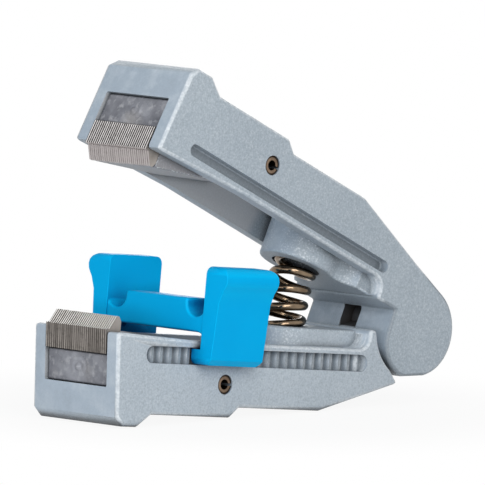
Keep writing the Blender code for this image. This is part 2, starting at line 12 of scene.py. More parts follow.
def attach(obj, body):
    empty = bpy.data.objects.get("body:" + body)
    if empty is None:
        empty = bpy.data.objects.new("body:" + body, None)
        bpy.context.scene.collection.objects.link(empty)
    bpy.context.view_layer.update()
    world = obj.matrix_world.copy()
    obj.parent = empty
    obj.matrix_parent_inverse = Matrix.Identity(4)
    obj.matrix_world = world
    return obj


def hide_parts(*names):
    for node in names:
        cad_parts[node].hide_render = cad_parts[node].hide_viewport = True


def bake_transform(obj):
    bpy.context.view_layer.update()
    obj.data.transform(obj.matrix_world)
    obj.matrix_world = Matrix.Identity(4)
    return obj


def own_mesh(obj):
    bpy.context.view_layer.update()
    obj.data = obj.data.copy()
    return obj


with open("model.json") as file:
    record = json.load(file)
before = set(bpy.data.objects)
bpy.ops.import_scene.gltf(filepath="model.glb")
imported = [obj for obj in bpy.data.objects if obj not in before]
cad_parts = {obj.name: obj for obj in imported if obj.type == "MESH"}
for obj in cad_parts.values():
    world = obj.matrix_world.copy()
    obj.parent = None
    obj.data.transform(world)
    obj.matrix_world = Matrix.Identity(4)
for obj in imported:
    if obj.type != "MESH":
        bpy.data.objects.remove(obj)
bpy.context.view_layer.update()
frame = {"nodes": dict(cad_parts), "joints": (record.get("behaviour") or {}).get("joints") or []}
MM = 0.001

# The jaw frames, from the joints: pivot axis, lean of the lower jaw and opening of the upper one
JOINTS = {joint["name"]: joint for joint in frame["joints"]}
PIVOT = Vector(JOINTS["jaw_hinge"]["pos_m"])
LEAN = -math.asin(JOINTS["stop_slide"]["axis"][2])
OPENING = math.asin(JOINTS["upper_pack_press"]["axis"][0]) - LEAN
LOWER_FRAME = Matrix.Translation(PIVOT) @ Matrix.Rotation(LEAN, 4, "Y")
UPPER_FRAME = LOWER_FRAME @ Matrix.Rotation(OPENING, 4, "Y")

# Sizes in the jaw frame, in millimetres: x from the pivot, depths from the parting plane

# Front of the jaws and leaf packs
FRONT_X = -33.25
FRONT_RAKE = 0.085
PACK_WIDTH = 6.88
LEAVES = 30
LEAF_GAP = 0.03
LEAF_PROUD = 0.06
LEAF_ROOT = 3.3
LEAF_SHOULDER_DEPTH = 1.3
LEAF_SHOULDER = 0.28
LEAF_BACK_X = -31.65
LEAF_BACK_DEPTH = 0.70
LEAF_MOST_DROP = 0.014
LEAF_MOST_SET_BACK = 0.012
LEAF_SEEDS = {"lower": 11, "upper": 23}
EDGE_X = -32.15
EDGE_DEPTH = 0.3
EDGE_LAND = 0.25

# Places on the jaws where light and shade are painted into the colour, and the pins' dark rim
CHANNEL_HALF = 3.5
CHANNEL_END = 12.8
CHANNEL_FADE = 0.8
WALL_MARGIN = 0.05
FACE_MARGIN = 0.1
TOOTH_CREST = 4.42
OUTER_EDGE = 4.2
HUB_REACH = 4.4
HUB_FULL = 0.9 * HUB_REACH
HINGE_SLOT_HALF = 0.96
HINGE_SLOT_REACH = 2.8
HINGE_SLOT_FULL = 0.95 * HINGE_SLOT_REACH
RACK_SLOT = (-3.8, -2.43)
GROOVE = (2.43, 3.42)
PIN_RIM = (0.59, 0.67)

# Pads, with the round mark in their fronts
PAD_SPAN = (3.36, 5.84)
PAD_HALF_WIDTH = 3.44
PAD_HALF_THICKNESS = 0.5
PAD_RECESS = 0.25
PAD_ROUND = 0.14
PAD_CUTS = 60
PAD_CROWN = 0.05
MARK_RING_RADIUS = 0.92
MARK_RING_WIDTH = 0.13
MARK_RING_DEPTH = 0.10
MARK_RING_TURN = 0.6
MARK_RING_MEAN = 0.55
MARK_RING_SWING = 0.45
MARK_NUB_RADIUS = 0.20
MARK_NUB_HEIGHT = 0.14
MARK_MOAT_RADIUS = 0.38
MARK_MOAT_WIDTH = 0.10
MARK_MOAT_DEPTH = 0.08

# Return spring
CUP_X = -10.2
SEAT_DEPTH = 3.1
WIRE_RADIUS = 0.35
WIRE_ROUNDNESS = 5
COIL_RADIUS = 1.53
COIL_TURNS = 5.25
COIL_STEPS_PER_TURN = 32
COIL_START = math.radians(-100.0)
COIL_END_TURN = 0.35

# Meshes: distance in metres for joining points, angles in degrees
WELD = 2e-7
FLAT_ANGLE = 0.4
SHARP_ANGLE = 34.0
STOP_SHARP_ANGLE = 40.0
WIRE_SHARP_ANGLE = 50.0

# Studio, in metres
SKY_COLOUR = (0.94, 0.97, 1.0, 1.0)
SKY_STRENGTH = 0.30
FLOOR_RADIUS = 0.6
FLOOR_SEGMENTS = 96
FLOOR_SINK = 0.00002
FLOOR_COLOUR = (0.62, 0.62, 0.62, 1.0)
FLOOR_FADE = (0.015, 0.036)
FLOOR_GLOW = (0.92, 1.0)
WHITE = (1.0, 1.0, 1.0, 1.0)
LAMP_AIM = Vector((0, 0, 0.012))
LAMPS = (
    # name, place, width and height, power in watts, colour
    ("key", (-0.110, -0.180, 0.105), (0.12, 0.12), 0.26, (1.0, 0.99, 0.97)),
    ("low", (-0.190, -0.130, 0.014), (0.16, 0.024), 0.13, (1.0, 0.98, 0.97)),
    ("front", (-0.280, -0.040, 0.030), (0.16, 0.05), 0.08, (0.93, 0.97, 1.0)),
    ("top", (0.000, -0.040, 0.280), (0.22, 0.18), 0.13, (1.0, 1.0, 1.0)),
    ("rim", (0.240, 0.180, 0.140), (0.14, 0.20), 0.24, (1.0, 1.0, 1.0)),
)

# Camera: angles in degrees in the lower jaw's frame, distances in millimetres, clip in metres
CAMERA_AZIMUTH = 45.05
CAMERA_ELEVATION = 1.994
CAMERA_ROLL = 4.908
CAMERA_AIM = Vector((-28.25, 0, 0))
CAMERA_RIGHT = 9.483
CAMERA_UP = 5.35
CAMERA_BACK = 1052.35
CAMERA_SENSOR = 36.0
CAMERA_LENS = 988.6
CAMERA_CLIP = (0.05, 20.0)


def front_x(depth):
    return FRONT_X + FRONT_RAKE * depth


def rgb(red, green, blue):
    return (red, green, blue, 1.0)


# Materials


class Graph:
    """Short names for building one material's nodes."""

    def __init__(self, name):
        self.material = bpy.data.materials.new(name)
        self.material.use_nodes = True
        self.tree = self.material.node_tree
        self.shader = self.tree.nodes["Principled BSDF"]
        coordinates = self.add("ShaderNodeTexCoord")
        self.place = coordinates.outputs["Object"]
        self.normal = coordinates.outputs["Normal"]

    def add(self, kind, **settings):
        node = self.tree.nodes.new(kind)
        for key, value in settings.items():
            setattr(node, key, value)
        return node

    def link(self, source, target):
        self.tree.links.new(source, target)

    def set(self, **values):
        for key, value in values.items():
            self.shader.inputs[key.replace("_", " ")].default_value = value

    def feed(self, socket, value):
        if isinstance(value, (int, float, tuple)):
            socket.default_value = value
        else:
            self.link(value, socket)

    def math(self, operation, first, second=0.0, third=None):
        node = self.add("ShaderNodeMath", operation=operation)
        self.feed(node.inputs[0], first)
        self.feed(node.inputs[1], second)
        if third is not None:
            self.feed(node.inputs[2], third)
        return node.outputs[0]

    def times(self, first, *others):
        """Product of masks and shares."""
        for other in others:
            first = self.math("MULTIPLY", first, other)
        return first

    def rest(self, mask):
        """The share that a mask leaves."""
        return self.math("SUBTRACT", 1.0, mask)

    def stretch(self, scale):
        node = self.add("ShaderNodeMapping")
        self.link(self.place, node.inputs["Vector"])
        node.inputs["Scale"].default_value = scale
        return node.outputs["Vector"]

    def noise(self, scale, detail, roughness, place=None, offset=0.0):
        node = self.add("ShaderNodeTexNoise", noise_dimensions="4D")
        self.link(place or self.place, node.inputs["Vector"])
        node.inputs["Scale"].default_value = scale
        node.inputs["Detail"].default_value = detail
        node.inputs["Roughness"].default_value = roughness
        node.inputs["W"].default_value = offset
        return node.outputs["Fac"]

    def ramp(self, value, low, high, from_value=0.0, to_value=1.0):
        node = self.add("ShaderNodeMapRange", clamp=True)
        self.feed(node.inputs["Value"], value)
        node.inputs["From Min"].default_value = low
        node.inputs["From Max"].default_value = high
        node.inputs["To Min"].default_value = from_value
        node.inputs["To Max"].default_value = to_value
        return node.outputs["Result"]

    def mix(self, factor, first, second, blend="MIX"):
        node = self.add("ShaderNodeMix", data_type="RGBA", blend_type=blend)
        self.feed(node.inputs["Factor"], factor)
        self.feed(node.inputs["A"], first)
        self.feed(node.inputs["B"], second)
        return node.outputs["Result"]

    def axes(self, vector):
        split = self.add("ShaderNodeSeparateXYZ")
        self.link(vector, split.inputs[0])
        return split.outputs["X"], split.outputs["Y"], split.outputs["Z"]

    def along(self, vector, axis):
        """Length of vector along axis."""
        dot = self.add("ShaderNodeVectorMath", operation="DOT_PRODUCT")
        self.link(vector, dot.inputs[0])
        dot.inputs[1].default_value = axis
        return dot.outputs["Value"]

    def facing(self, axis, start, end):
        """1 where the surface faces along axis in the object's own frame."""
        return self.ramp(self.along(self.normal, axis), start, end)

    def height(self, up):
        """Distance in metres from the parting plane through the pivot, along up."""
        return self.math("SUBTRACT", self.along(self.place, up), up.dot(PIVOT))

    def off_middle(self, vector):
        """Size of vector's part across the jaws."""
        _, y, _ = self.axes(vector)
        return self.math("ABSOLUTE", y)

    def from_axis(self, centre):
        """Distance in metres from a line across the jaws through centre."""
        x, _, z = self.axes(self.place)
        forward = self.math("SUBTRACT", x, centre.x)
        upward = self.math("SUBTRACT", z, centre.z)
        squares = self.math("MULTIPLY_ADD", upward, upward, self.times(forward, forward))
        return self.math("SQRT", squares)

    def rounded(self):
        """1 on the rounded strip between a side face and the rest of the profile, 0 on both."""
        lean = self.off_middle(self.normal)
        return self.times(self.ramp(lean, 0.03, 0.25), self.ramp(lean, 0.995, 0.93))

    def hollow(self, reach, deepest, open_from):
        """1 deep in slots and corners, 0 on open faces, by the share of open sky within reach."""
        node = self.add("ShaderNodeAmbientOcclusion", samples=6)
        node.inputs["Distance"].default_value = reach
        return self.ramp(node.outputs["AO"], deepest, open_from, 1.0, 0.0)

    def sideways(self, inner, outer):
        """1 on faces turned to either side that lie between two distances in mm from the middle."""
        reach = self.off_middle(self.place)
        flat = self.ramp(self.off_middle(self.normal), 0.80, 0.95)
        beyond = self.math("GREATER_THAN", reach, inner * MM)
        within = self.math("LESS_THAN", reach, outer * MM)
        return self.times(flat, beyond, within)

    def hinge_slot(self):
        """1 inside the slot that the hinge tongue runs in, 0 elsewhere."""
        near = self.ramp(self.from_axis(PIVOT), HINGE_SLOT_REACH * MM, HINGE_SLOT_FULL * MM)
        within = self.math("LESS_THAN", self.off_middle(self.place), HINGE_SLOT_HALF * MM)
        return self.times(near, within)

    def leaf_gaps(self, share, softness=0.12):
        """1 between two leaves, 0 in the middle of each, across the pack."""
        _, y, _ = self.axes(self.place)
        count = self.math("MULTIPLY_ADD", y, LEAVES / (PACK_WIDTH * MM), LEAVES / 2)
        within = self.math("FRACT", count)
        outwards = self.math("ABSOLUTE", self.math("MULTIPLY_ADD", within, 2.0, -1.0))
        start, end = (1.0 - (1.0 + side * softness) * share for side in (1, -1))
        return self.ramp(outwards, start, end)

    def bump(self, height, strength, distance):
        node = self.add("ShaderNodeBump")
        node.inputs["Strength"].default_value = strength
        node.inputs["Distance"].default_value = distance
        self.link(height, node.inputs["Height"])
        return node.outputs["Normal"]

    def finish(self, colour, roughness, normal):
        self.link(colour, self.shader.inputs["Base Color"])
        self.link(roughness, self.shader.inputs["Roughness"])
        self.link(normal, self.shader.inputs["Normal"])
        return self.material


def smudges_and_painted_blue_reflection(g, colour, front):
    """Faces turned to the front: a painted bluish reflection, with pale and dark smudges."""
    # Painted bluish reflection: faces turned to the front are tinted blue.
    colour = g.mix(g.times(front, 0.60), colour, rgb(0.91, 0.975, 1.06), "MULTIPLY")
    smudge = g.noise(520.0, 4.0, 0.65, offset=15.0)
    pale = g.times(front, g.ramp(smudge, 0.48, 0.72, 0.0, 0.55))
    dark = g.times(front, g.ramp(smudge, 0.46, 0.26, 0.0, 0.45))
    colour = g.mix(pale, colour, rgb(0.58, 0.65, 0.71))
    return g.mix(dark, colour, rgb(0.28, 0.33, 0.39))


def glass_specks(g, colour, grain, coarse):
    """Pale and dark specks of the glass filling."""
    pale = g.times(g.ramp(grain, 0.50, 0.70, 0.0, 0.42), coarse)
    dark = g.times(g.ramp(grain, 0.48, 0.30, 0.0, 0.38), coarse)
    colour = g.mix(pale, colour, rgb(0.66, 0.70, 0.73))
    return g.mix(dark, colour, rgb(0.20, 0.23, 0.255))


def painted_light_and_shade_in_hollows(g, colour, corner, shade, inner, place, slot):
    """Painted light on the channel's walls; painted shade on slot floors, in corners, in hollows
    and in the hinge slot.
    """
    ahead = (CHANNEL_END * MM, (CHANNEL_END + CHANNEL_FADE) * MM)
    # Painted light: the channel's side walls ahead of the pivot take the paler colour inner.
    channel = g.sideways(0.0, CHANNEL_HALF + WALL_MARGIN)
    painted_wall_light = g.times(channel, g.ramp(g.from_axis(PIVOT), *ahead, 0.0, 0.60))
    colour = g.mix(painted_wall_light, colour, inner)
    # Painted shade on the slot floors, stronger towards the top of each slot.
    height = g.height(place.to_3x3() @ Vector((0, 0, 1)))
    slot_floor = g.sideways(CHANNEL_HALF + FACE_MARGIN, TOOTH_CREST + FACE_MARGIN)
    painted_floor_shade = g.times(slot_floor, g.ramp(height, slot[0] * MM, slot[1] * MM, 0.26, 0.62))
    colour = g.mix(painted_floor_shade, colour, shade)
    # Painted shade in corners and hollows, nearly black in the hinge slot.
    colour = g.mix(g.times(corner, 0.70), colour, shade)
    deep = g.hollow(0.0045, 0.02, 0.14)
    colour = g.mix(g.times(deep, 0.90), colour, rgb(0.030, 0.028, 0.028))
    return g.mix(g.times(g.hinge_slot(), 0.92), colour, rgb(0.022, 0.019, 0.017))


def worn_edges_and_painted_light(g, colour, corner, shade, grain, wear_and_highlight):
    """Painted glints in curved recesses, painted shade on the hub's edge, and pale outer edges that
    are rubbed and painted as highlights.
    """
    reach = g.off_middle(g.place)
    curved = g.rounded()
    # Painted glints: pale specks on the curved walls inside the channel.
    bowl = g.times(curved, g.math("LESS_THAN", reach, (CHANNEL_HALF + FACE_MARGIN) * MM))
    painted_glint = g.times(bowl, g.ramp(grain, 0.55, 0.66, 0.0, 0.50))
    colour = g.mix(painted_glint, colour, rgb(0.80, 0.84, 0.87))
    edge = g.times(curved, g.math("GREATER_THAN", reach, OUTER_EDGE * MM))
    # Painted shade on the hub's rounded edges.
    hub = g.ramp(g.from_axis(PIVOT), HUB_REACH * MM, HUB_FULL * MM)
    colour = g.mix(g.times(edge, hub, 0.40), colour, shade)
    # Pale outer edges: partly rubbed, partly painted highlight.
    open_edge = g.times(edge, g.rest(g.math("MAXIMUM", corner, hub)))
    patches = g.ramp(g.noise(2300.0, 3.0, 0.7, offset=9.0), 0.28, 0.64)
    return g.mix(g.times(open_edge, patches, wear_and_highlight), colour, rgb(0.84, 0.88, 0.91))


def jaw_material(name, pale, dark, shade, inner, wear_and_highlight, place, slot):
    """Glass-filled moulding: fine grain and a smoother front, with painted bluish reflection,
    painted light and shade in the slots, painted glints and highlights on the edges.
    """
    g = Graph(name)
    cloud = g.noise(170.0, 3.0, 0.5)
    grain = g.noise(6600.0, 2.0, 0.6, offset=2.0)
    front = g.facing((-1.0, 0.0, 0.25), 0.70, 0.90)
    coarse = g.rest(g.times(front, 0.75))
    # Corners, where painted shade goes and the pale edges stop.
    corner = g.hollow(0.0008, 0.40, 0.88)
    colour = g.mix(g.ramp(cloud, 0.32, 0.70), dark, pale)
    colour = smudges_and_painted_blue_reflection(g, colour, front)
    colour = glass_specks(g, colour, grain, coarse)
    colour = painted_light_and_shade_in_hollows(g, colour, corner, shade, inner, place, slot)
    colour = worn_edges_and_painted_light(g, colour, corner, shade, grain, wear_and_highlight)
    roughness = g.ramp(grain, 0.3, 0.7, 0.40, 0.56)
    g.set(Specular_IOR_Level=0.40)
    return g.finish(colour, roughness, g.bump(g.times(grain, coarse), 0.20, 0.00004))


def stop_material():
    """Satin sky-blue moulding with a faint grain, paler edges that are rubbed and painted as
    highlights, and painted shade in hollows.
    """
    g = Graph("stop_satin_blue")
    cloud = g.noise(160.0, 3.0, 0.5, offset=1.0)
    grain = g.noise(4200.0, 2.0, 0.55, offset=4.0)
    colour = g.mix(g.ramp(cloud, 0.3, 0.7), rgb(0.0, 0.400, 0.815), rgb(0.0, 0.445, 0.865))
    # Painted shade in the hollows, darker blue.
    hollow = g.hollow(0.0034, 0.34, 0.86)
    colour = g.mix(g.times(hollow, 0.84), colour, rgb(0.001, 0.030, 0.170))
    # Paler open edges: partly rubbed, partly painted highlight.
    open_edge = g.times(g.rounded(), g.rest(hollow))
    colour = g.mix(g.times(open_edge, 0.45), colour, rgb(0.0, 0.52, 0.92))
    colour = g.mix(g.ramp(grain, 0.55, 0.75, 0.0, 0.12), colour, rgb(0.01, 0.48, 0.86))
    roughness = g.ramp(g.noise(420.0, 4.0, 0.6, offset=7.0), 0.3, 0.7, 0.34, 0.50)
    g.set(Specular_IOR_Level=0.05)
    return g.finish(colour, roughness, g.bump(grain, 0.08, 0.00003))


def leaf_material(name, pale, dark, stain_and_gap_shade, gap_share, metallic):
    """Edges of thin steel leaves: grinding lines down each leaf, stains, and painted shade between
    neighbouring leaves.
    """
    g = Graph(name)
    lines = g.noise(1500.0, 3.0, 0.6, g.stretch((1.0, 0.2, 0.2)))
    stain = g.noise(2400.0, 3.0, 0.7, offset=3.0)
    each = g.add("ShaderNodeNewGeometry").outputs["Random Per Island"]
    tone = g.math("ADD", g.times(lines, 0.6), g.times(each, 0.4))
    colour = g.mix(g.ramp(tone, 0.25, 0.75), dark, pale)
    colour = g.mix(g.ramp(stain, 0.50, 0.70, 0.0, 0.50), colour, stain_and_gap_shade)
    # Painted shade between neighbouring leaves.
    colour = g.mix(g.leaf_gaps(gap_share), colour, stain_and_gap_shade)
    roughness = g.ramp(lines, 0.3, 0.7, 0.30, 0.48)
    g.set(Metallic=metallic, Specular_IOR_Level=0.5)
    return g.finish(colour, roughness, g.bump(lines, 0.12, 0.00003))


def steel_material(name, pale, dark, shade, roughness_span, streak, centre=None):
    """Drawn steel: fine streaks, a faint tarnish, painted shade in hollows and a dark rim about
    centre.
    """
    g = Graph(name)
    lines = g.noise(900.0, 4.0, 0.65, g.stretch(streak))
    tarnish = g.noise(700.0, 3.0, 0.6, offset=3.0)
    colour = g.mix(g.ramp(lines, 0.3, 0.7), dark, pale)
    colour = g.mix(g.ramp(tarnish, 0.48, 0.74, 0.0, 0.55), colour, shade)
    # Painted shade in hollows.
    colour = g.mix(g.hollow(0.0010, 0.20, 0.70), colour, shade)
    if centre is not None:
        rim = g.ramp(g.from_axis(centre), PIN_RIM[0] * MM, PIN_RIM[1] * MM)
        colour = g.mix(g.times(rim, 0.9), colour, shade)
    roughness = g.ramp(lines, 0.3, 0.7, *roughness_span)
    g.set(Metallic=1.0)
    return g.finish(colour, roughness, g.bump(lines, 0.12, 0.00003))


def pin_material(node):
    """Bronzed steel with a dark rim about the pin's own axis."""
    spots = [vert.co for vert in frame["nodes"][node].data.vertices]
    low = Vector([min(axis) for axis in zip(*spots)])
    high = Vector([max(axis) for axis in zip(*spots)])
    return steel_material(
        node + "_bronzed_steel",
        pale=rgb(0.30, 0.215, 0.150),
        dark=rgb(0.15, 0.105, 0.075),
        shade=rgb(0.012, 0.008, 0.006),
        roughness_span=(0.26, 0.42),
        streak=(1.0, 0.06, 1.0),
        centre=(low + high) / 2,
    )


def pad_material():
    """Smoky elastic pad: blotchy, glossy, with pale clouds and a faint brown tint inside."""
    g = Graph("cushion_smoky")
    cloud = g.noise(360.0, 4.0, 0.6, offset=6.0)
    fine = g.noise(1500.0, 3.0, 0.6, offset=8.0)
    tint = g.noise(260.0, 2.0, 0.5, offset=12.0)
    colour = g.mix(g.ramp(cloud, 0.32, 0.68), rgb(0.062, 0.068, 0.090), rgb(0.285, 0.296, 0.334))
    colour = g.mix(g.ramp(tint, 0.52, 0.70, 0.0, 0.40), colour, rgb(0.300, 0.275, 0.245))
    colour = g.mix(g.ramp(fine, 0.53, 0.70, 0.0, 0.55), colour, rgb(0.50, 0.51, 0.54))
    # Painted shade in the pad's hollows.
    colour = g.mix(g.times(g.hollow(0.0007, 0.25, 0.75), 0.7), colour, rgb(0.06, 0.062, 0.07))
    roughness = g.ramp(cloud, 0.3, 0.7, 0.16, 0.36)
    g.set(Specular_IOR_Level=0.6)
    return g.finish(colour, roughness, g.bump(fine, 0.25, 0.00006))


# In each jaw_material call, inner is painted light on the channel's walls and shade the colour of
# painted shade.
JAW_LOWER = jaw_material(
    "lower_jaw_glass_filled",
    pale=rgb(0.455, 0.517, 0.575),
    dark=rgb(0.417, 0.478, 0.536),
    shade=rgb(0.090, 0.105, 0.122),
    inner=rgb(0.62, 0.62, 0.63),
    wear_and_highlight=0.60,
    place=LOWER_FRAME,
    slot=RACK_SLOT,
)
# The upper jaw's colours are a darker copy of the lower jaw's moulding: painted shade.
JAW_UPPER = jaw_material(
    "upper_jaw_glass_filled",
    pale=rgb(0.387, 0.447, 0.502),
    dark=rgb(0.352, 0.410, 0.465),
    shade=rgb(0.080, 0.094, 0.110),
    inner=rgb(0.66, 0.65, 0.65),
    wear_and_highlight=0.60,
    place=UPPER_FRAME,
    slot=GROOVE,
)
CARRIER = jaw_material(
    "carrier_grey_moulding",
    pale=rgb(0.262, 0.262, 0.280),
    dark=rgb(0.226, 0.228, 0.246),
    shade=rgb(0.070, 0.074, 0.084),
    inner=rgb(0.250, 0.250, 0.265),
    wear_and_highlight=0.20,
    place=LOWER_FRAME,
    slot=RACK_SLOT,
)
STOP = stop_material()
LEAF_GROUND = leaf_material(
    "leaf_ground_edge",
    pale=rgb(0.98, 0.96, 0.93),
    dark=rgb(0.84, 0.80, 0.76),
    stain_and_gap_shade=rgb(0.014, 0.010, 0.008),
    gap_share=0.53,
    metallic=0.75,
)
LEAF_STAINED = leaf_material(
    "leaf_stained_front",
    pale=rgb(0.33, 0.30, 0.275),
    dark=rgb(0.16, 0.142, 0.128),
    stain_and_gap_shade=rgb(0.035, 0.030, 0.026),
    gap_share=0.34,
    metallic=0.5,
)
LEAF_BRIGHT = leaf_material(
    "leaf_bright_front",
    pale=rgb(0.90, 0.87, 0.86),
    dark=rgb(0.66, 0.63, 0.62),
    stain_and_gap_shade=rgb(0.014, 0.011, 0.011),
    gap_share=0.57,
    metallic=0.75,
)
LEAF_DULL = leaf_material(
    "leaf_dull_ground_edge",
    pale=rgb(0.50, 0.46, 0.455),
    dark=rgb(0.42, 0.385, 0.38),
    stain_and_gap_shade=rgb(0.27, 0.24, 0.235),
    gap_share=0.20,
    metallic=0.5,
)
LEAF_SIDE = steel_material(
    "leaf_rolled_side",
    pale=rgb(0.42, 0.385, 0.355),
    dark=rgb(0.29, 0.262, 0.240),
    shade=rgb(0.13, 0.112, 0.098),
    roughness_span=(0.34, 0.50),
    streak=(1.0, 1.0, 0.2),
)
SPRING = steel_material(
    "spring_bronzed_wire",
    pale=rgb(0.29, 0.215, 0.145),
    dark=rgb(0.13, 0.092, 0.062),
    shade=rgb(0.035, 0.024, 0.017),
    roughness_span=(0.13, 0.22),
    streak=(1.0, 1.0, 1.0),
)
PAD = pad_material()


# Pieces


def add_object(name, data):
    obj = bpy.data.objects.new(name, data)
    bpy.context.scene.collection.objects.link(obj)
    return obj


def to_mesh(shape, name):
    mesh = bpy.data.meshes.new(name)
    shape.to_mesh(mesh)
    shape.free()
    return mesh


def new_piece(name, mesh, materials, body, nodes):
    piece = add_object(name, mesh)
    for material in materials:
        mesh.materials.append(material)
    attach(piece, body)
    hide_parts(*nodes)
    return piece


def dress(node, material, body, angle=SHARP_ANGLE):
    """The node's own shape with its split faces joined, so that rounded edges shade smoothly."""
    shape = bmesh.new()
    shape.from_mesh(frame["nodes"][node].data)
    bmesh.ops.remove_doubles(shape, verts=shape.verts, dist=WELD)
    bmesh.ops.dissolve_limit(
        shape, angle_limit=math.radians(FLAT_ANGLE), verts=shape.verts, edges=shape.edges
    )
    bmesh.ops.recalc_face_normals(shape, faces=shape.faces)
    mesh = to_mesh(shape, node + "_moulding")
    mesh.shade_smooth()
    mesh.set_sharp_from_angle(angle=math.radians(angle))
    piece = new_piece(node + "_dressed", mesh, [material], body, [node])
    even = piece.modifiers.new("even_normals", "WEIGHTED_NORMAL")
    even.keep_sharp = True
    even.weight = 100


def leaf_pack(prefix, side, place, body, materials):
    """Thin leaves side by side, each a hair different in height, with ground edges.

    The materials are those of the fronts, the ground edges and the sides.
    """
    front, ground, flank = range(3)
    ground_faces = range(1, 6)
    chance = random.Random(LEAF_SEEDS[prefix])
    pitch = PACK_WIDTH / LEAVES
    shape = bmesh.new()
    for i in range(LEAVES):
        drop = chance.uniform(0.0, LEAF_MOST_DROP)
        back = chance.uniform(0.0, LEAF_MOST_SET_BACK)
        shoulder = LEAF_SHOULDER_DEPTH + drop
        outline = [
            (front_x(LEAF_ROOT) - LEAF_PROUD + back, LEAF_ROOT),
            (front_x(shoulder) - LEAF_PROUD + back, shoulder + LEAF_PROUD),
            (front_x(shoulder) + back, shoulder),
            (front_x(shoulder) + LEAF_SHOULDER + back, shoulder),
            (EDGE_X + back, EDGE_DEPTH + drop),
            (EDGE_X + EDGE_LAND, EDGE_DEPTH + drop),
            (LEAF_BACK_X, LEAF_BACK_DEPTH + drop),
            (LEAF_BACK_X, LEAF_ROOT),
        ]
        start = -PACK_WIDTH / 2 + i * pitch + LEAF_GAP / 2
        near, far = (
            [shape.verts.new((x * MM, y * MM, side * depth * MM)) for x, depth in outline]
            for y in (start, start + pitch - LEAF_GAP)
        )
        shape.faces.new(near).material_index = flank
        shape.faces.new(list(reversed(far))).material_index = flank
        for j in range(len(outline)):
            k = (j + 1) % len(outline)
            face = shape.faces.new((near[k], near[j], far[j], far[k]))
            face.material_index = ground if j in ground_faces else front
    bmesh.ops.recalc_face_normals(shape, faces=shape.faces)
    bmesh.ops.transform(shape, matrix=place, verts=shape.verts)
    mesh = to_mesh(shape, prefix + "_leaf_pack")
    nodes = [name for name in frame["nodes"] if name.startswith(prefix + "_leaf_")]
    new_piece(prefix + "_leaf_pack", mesh, materials, body, nodes)


def swell(distance, width):
    """A smooth hill: 1 at no distance, close to 0 at twice the width."""
    return math.exp(-((distance / width) ** 2))


def pad_front(u, v):
    """How far the pad's front stands out, in mm, at width u and height v from -1 to 1."""
    half_height = (PAD_SPAN[1] - PAD_SPAN[0]) / 2
    across = math.hypot(u * PAD_HALF_WIDTH, v * half_height)
    crown = PAD_CROWN * (1 - u * u) * (1 - v * v)
    crescent = MARK_RING_MEAN + MARK_RING_SWING * math.sin(math.atan2(v, -u) + MARK_RING_TURN)
    ring = MARK_RING_DEPTH * crescent * swell(across - MARK_RING_RADIUS, MARK_RING_WIDTH)
    nub = MARK_NUB_HEIGHT * swell(across, MARK_NUB_RADIUS)
    moat = MARK_MOAT_DEPTH * swell(across - MARK_MOAT_RADIUS, MARK_MOAT_WIDTH)
    return crown - ring + nub - moat


def pad(prefix, side, place, body):
    """Elastic pad in the window: rounded edges, a crowned front with a round moulding mark."""
    low, high = PAD_SPAN
    half = Vector((PAD_HALF_THICKNESS, PAD_HALF_WIDTH, (high - low) / 2))
    shape = bmesh.new()
    bmesh.ops.create_cube(shape, size=2.0)
    bmesh.ops.subdivide_edges(shape, edges=shape.edges, cuts=PAD_CUTS, use_grid_fill=True)
    for vert in shape.verts:
        u, v = vert.co.y, vert.co.z
        front = vert.co.x < -0.999
        point = Vector((vert.co.x * half.x, u * half.y, v * half.z))
        inner = Vector([max(-h + PAD_ROUND, min(h - PAD_ROUND, c)) for c, h in zip(point, half)])
        away = point - inner
        if away.length > 1e-9:
            point = inner + away.normalized() * PAD_ROUND
        depth = (low + high) / 2 - point.z
        start = front_x(depth) + PAD_RECESS
        x = start + (point.x + half.x) / (2 * half.x) * (LEAF_BACK_X - start)
        if front:
            x -= pad_front(u, v)
        vert.co = Vector((x, point.y, side * depth)) * MM
    shape.normal_update()
    bmesh.ops.recalc_face_normals(shape, faces=shape.faces)
    bmesh.ops.transform(shape, matrix=place, verts=shape.verts)
    mesh = to_mesh(shape, prefix + "_pad")
    mesh.shade_smooth()
    piece = new_piece(prefix + "_pad", mesh, [PAD], body, [prefix + "_cushion"])
    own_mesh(piece)


def coil_point(travel, angle):
    """Point of the wire's middle line, at a travel in mm along the spring from its lower end."""
    bent = -CUP_X * OPENING
    turn = min(max((travel - SEAT_DEPTH) / bent, 0.0), 1.0) * OPENING
    along = Vector((math.sin(turn), 0, math.cos(turn)))
    rearwards = Vector((math.cos(turn), 0, -math.sin(turn)))
    rise = min(travel - SEAT_DEPTH, 0.0) + max(travel - SEAT_DEPTH - bent, 0.0)
    out = math.cos(angle) * rearwards + math.sin(angle) * Vector((0, 1, 0))
    return CUP_X * rearwards + rise * along + COIL_RADIUS * out


def coil_points():
    """Turns about an arc round the pivot, with a short straight end on each seat."""
    length = 2 * SEAT_DEPTH - CUP_X * OPENING
    stub = 2 * WIRE_RADIUS
    sweep = 2 * math.pi * COIL_TURNS
    steps = round(COIL_TURNS * COIL_STEPS_PER_TURN)
    points = [coil_point(travel, COIL_START - COIL_END_TURN) for travel in (0.0, stub)]
    for i in range(steps + 1):
        share = i / steps
        travel = 2 * stub + (length - 4 * stub) * share
        points.append(coil_point(travel, COIL_START + sweep * share))
    for travel in (length - stub, length):
        points.append(coil_point(travel, COIL_START + sweep + COIL_END_TURN))
    return points


